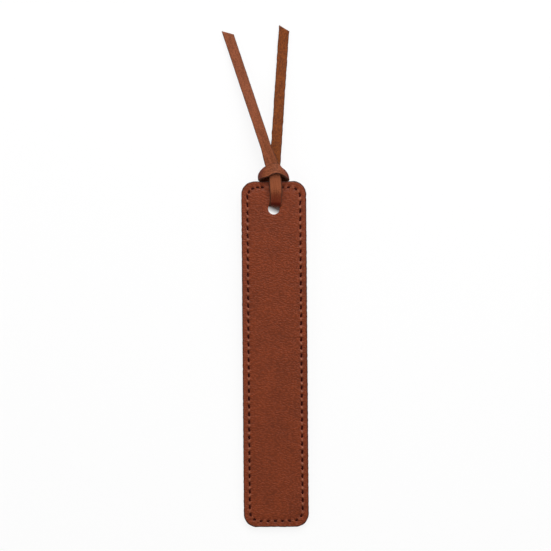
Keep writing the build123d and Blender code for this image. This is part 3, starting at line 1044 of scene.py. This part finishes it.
class BOOKMARK_OT_tails(BookmarkOperator, bpy.types.Operator):
    """Make the lace's two free tails"""

    bl_idname = "bookmark.tails"
    bl_label = "Tails"

    def execute(self, context):
        scene = context.scene
        lace, colours, finish = scene.bookmark_lace, scene.bookmark_colours, scene.bookmark_finish
        grain, flesh, cut = lace_grain(colours), lace_flesh(colours), lace_cut_edge(colours)
        finish.grain, finish.flesh, finish.cut = grain, flesh, cut
        self.tail("lace_left_tail", LEFT_TAIL, "left_tail", lace, lace.left_slant, [grain, cut, flesh])
        self.tail("lace_right_tail", RIGHT_TAIL, "right_tail", lace, lace.right_slant, [flesh, cut, grain])
        return {"FINISHED"}

    def tail(self, name, tail, body, lace, slant, materials):
        """One tail along its route, cut on a slant, bending where it leaves the hitch."""
        lean = math.radians(tail["lean"])
        run = Vector((math.sin(lean), math.cos(lean), 0))
        across = Vector((-math.cos(lean), math.sin(lean), 0))
        bend = Vector((tail["bend_x"] * MM, TOP_EDGE + TAIL_BEND_ABOVE_TOP * MM, 0))
        control = []
        for distance, height in tail["route"]:
            control.append(bend + run * distance * MM + Vector((0, 0, height * MM)))
        line = route_line(name + "_route", control)
        length = sum((b - a).length for a, b in zip(line, line[1:]))
        stations = [(middle, across, lace.width, 0) for middle in line]

        def shape(along, a):
            share = a / lace.width * 2
            ahead = a * math.tan(slant) * ease(along, length - TIP_RUN * MM, length)
            clump = Vector((along / (FUZZ_LENGTH * MM), a / (FUZZ_WIDTH * MM), tail["bend_x"]))
            fuzz = tail["fuzz"] * MM * noise.fractal(clump, *FUZZ_NOISE)
            spread = tail["spread"] * MM * (1 - ramp(along, *SPREAD_GONE))
            gathered = ramp(along, *GATHERED) * (1 - ramp(along, *RELEASED))
            return ahead, fuzz * share**4 + spread * share, gathered * crease(a, along)

        piece = strip_piece(name + "_lace", stations, lace, materials, shape)
        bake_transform(piece)
        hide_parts(name)
        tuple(line[0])


class BOOKMARK_OT_hitch(BookmarkOperator, bpy.types.Operator):
    """Make the lace's hitch"""

    bl_idname = "bookmark.hitch"
    bl_label = "Hitch"

    def execute(self, context):
        scene = context.scene
        sizes, lace, finish = scene.bookmark_panel, scene.bookmark_lace, scene.bookmark_finish
        rim = TOP_EDGE - sizes.hole_from_top + sizes.hole_radius

        # Painted shade at the hole, on the folds and on the lower leg, less painted light on the upper leg
        # under the band
        def shading_paint(middle):
            aside, past, height = abs(middle.x), middle.y - rim, middle.z
            painted_shading = PAINTED_HOLE_SHADE * (1 - ramp(past, *PAINTED_HOLE_SHADE_RUN)) * ease(height, 0, PANEL_HIGH.z)
            fold_shade = PAINTED_FOLD_SHADE * ramp(aside, *PAINTED_FOLD_SHADE_ASIDE)
            under_shadow = ramp(height - PANEL_HIGH.z, 0, PAINTED_SHADOW_LIFT)
            under_shadow *= (1 - ramp(height, *PAINTED_SHADOW_BELOW)) * (1 - ramp(aside, *PAINTED_SHADOW_ASIDE))
            painted_light = PAINTED_LIGHT * ramp(past, *PAINTED_LIGHT_RUN) * (1 - ramp(aside, *PAINTED_LIGHT_ASIDE))
            painted_light *= ramp(height, *PAINTED_LIGHT_ABOVE) * (1 - ramp(height, *PAINTED_LIGHT_BELOW))
            return max(painted_shading, fold_shade, under_shadow) - painted_light

        def shape(along, a):
            return 0, 0, HITCH_CREASE * crease(a, along)

        materials = [finish.grain, finish.cut, finish.flesh]
        piece = strip_piece("lace_hitch_knot", hitch_stations(sizes), lace, materials, shape, shading_paint)
        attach(piece, "hitch")
        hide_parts("lace_hitch")
        return {"FINISHED"}


class BOOKMARK_OT_leathers(BookmarkOperator, bpy.types.Operator):
    """Make the front and back leathers"""

    bl_idname = "bookmark.leathers"
    bl_label = "Leathers"

    def execute(self, context):
        scene = context.scene
        sizes, colours = scene.bookmark_panel, scene.bookmark_colours
        materials = [pebbled_leather(colours), edge_paint(colours)]
        for node, front in (("front_leather", True), ("back_leather", False)):
            piece = leather_sheet(node + "_sewn", sizes, front, materials)
            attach(piece, "panel")
            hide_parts(node)
        return {"FINISHED"}


class BOOKMARK_OT_thread(BookmarkOperator, bpy.types.Operator):
    """Make the sewing thread's stitches"""

    bl_idname = "bookmark.thread"
    bl_label = "Thread"

    def execute(self, context):
        scene = context.scene
        seam = Seam(scene.bookmark_panel)
        points, faces = [], []
        for (before, first), (after, last) in seam.gaps:
            thread_dash(seam, before, first, 1, points, faces)
            thread_dash(seam, (before + after) / 2, (first + last) / 2, -1, points, faces)
        piece = mesh_piece("seam_thread_stitches", points, faces, [waxed_thread(scene.bookmark_colours)])
        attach(piece, "panel")
        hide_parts("seam_thread")
        return {"FINISHED"}


class BOOKMARK_OT_stiffener(BookmarkOperator, bpy.types.Operator):
    """Finish the stiffener between the leathers"""

    bl_idname = "bookmark.stiffener"
    bl_label = "Stiffener"

    def execute(self, context):
        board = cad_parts["stiffener"]
        board.data.materials.clear()
        board.data.materials.append(pressed_board(context.scene.bookmark_colours))
        return {"FINISHED"}


class BOOKMARK_PT_sidebar(bpy.types.Panel):
    """Sizes, colours and pieces of the bookmark"""

    bl_idname = "BOOKMARK_PT_sidebar"
    bl_label = "Leather bookmark"
    bl_space_type = "VIEW_3D"
    bl_region_type = "UI"
    bl_category = "Bookmark"

    def draw(self, context):
        for operator in OPERATORS:
            self.layout.operator(operator.bl_idname)
        for name in SETTINGS:
            group = getattr(context.scene, name)
            for key in group.__annotations__:
                self.layout.prop(group, key)


SETTINGS = {
    "bookmark_panel": BookmarkPanelSettings,
    "bookmark_lace": BookmarkLaceSettings,
    "bookmark_colours": BookmarkColourSettings,
    "bookmark_stage": BookmarkStageSettings,
    "bookmark_finish": BookmarkFinishes,
}
OPERATORS = (
    BOOKMARK_OT_stage,
    BOOKMARK_OT_tails,
    BOOKMARK_OT_hitch,
    BOOKMARK_OT_leathers,
    BOOKMARK_OT_thread,
    BOOKMARK_OT_stiffener,
)


def register():
    for name, group in SETTINGS.items():
        bpy.utils.register_class(group)
        setattr(bpy.types.Scene, name, bpy.props.PointerProperty(type=group))
    for operator in OPERATORS:
        bpy.utils.register_class(operator)
    bpy.utils.register_class(BOOKMARK_PT_sidebar)


def unregister():
    bpy.utils.unregister_class(BOOKMARK_PT_sidebar)
    for operator in reversed(OPERATORS):
        bpy.utils.unregister_class(operator)
    for name, group in SETTINGS.items():
        delattr(bpy.types.Scene, name)
        bpy.utils.unregister_class(group)


def main():
    register()
    bpy.ops.bookmark.stage()
    bpy.ops.bookmark.tails()
    bpy.ops.bookmark.hitch()
    bpy.ops.bookmark.leathers()
    bpy.ops.bookmark.thread()
    bpy.ops.bookmark.stiffener()


if __name__ == "__main__":
    main()
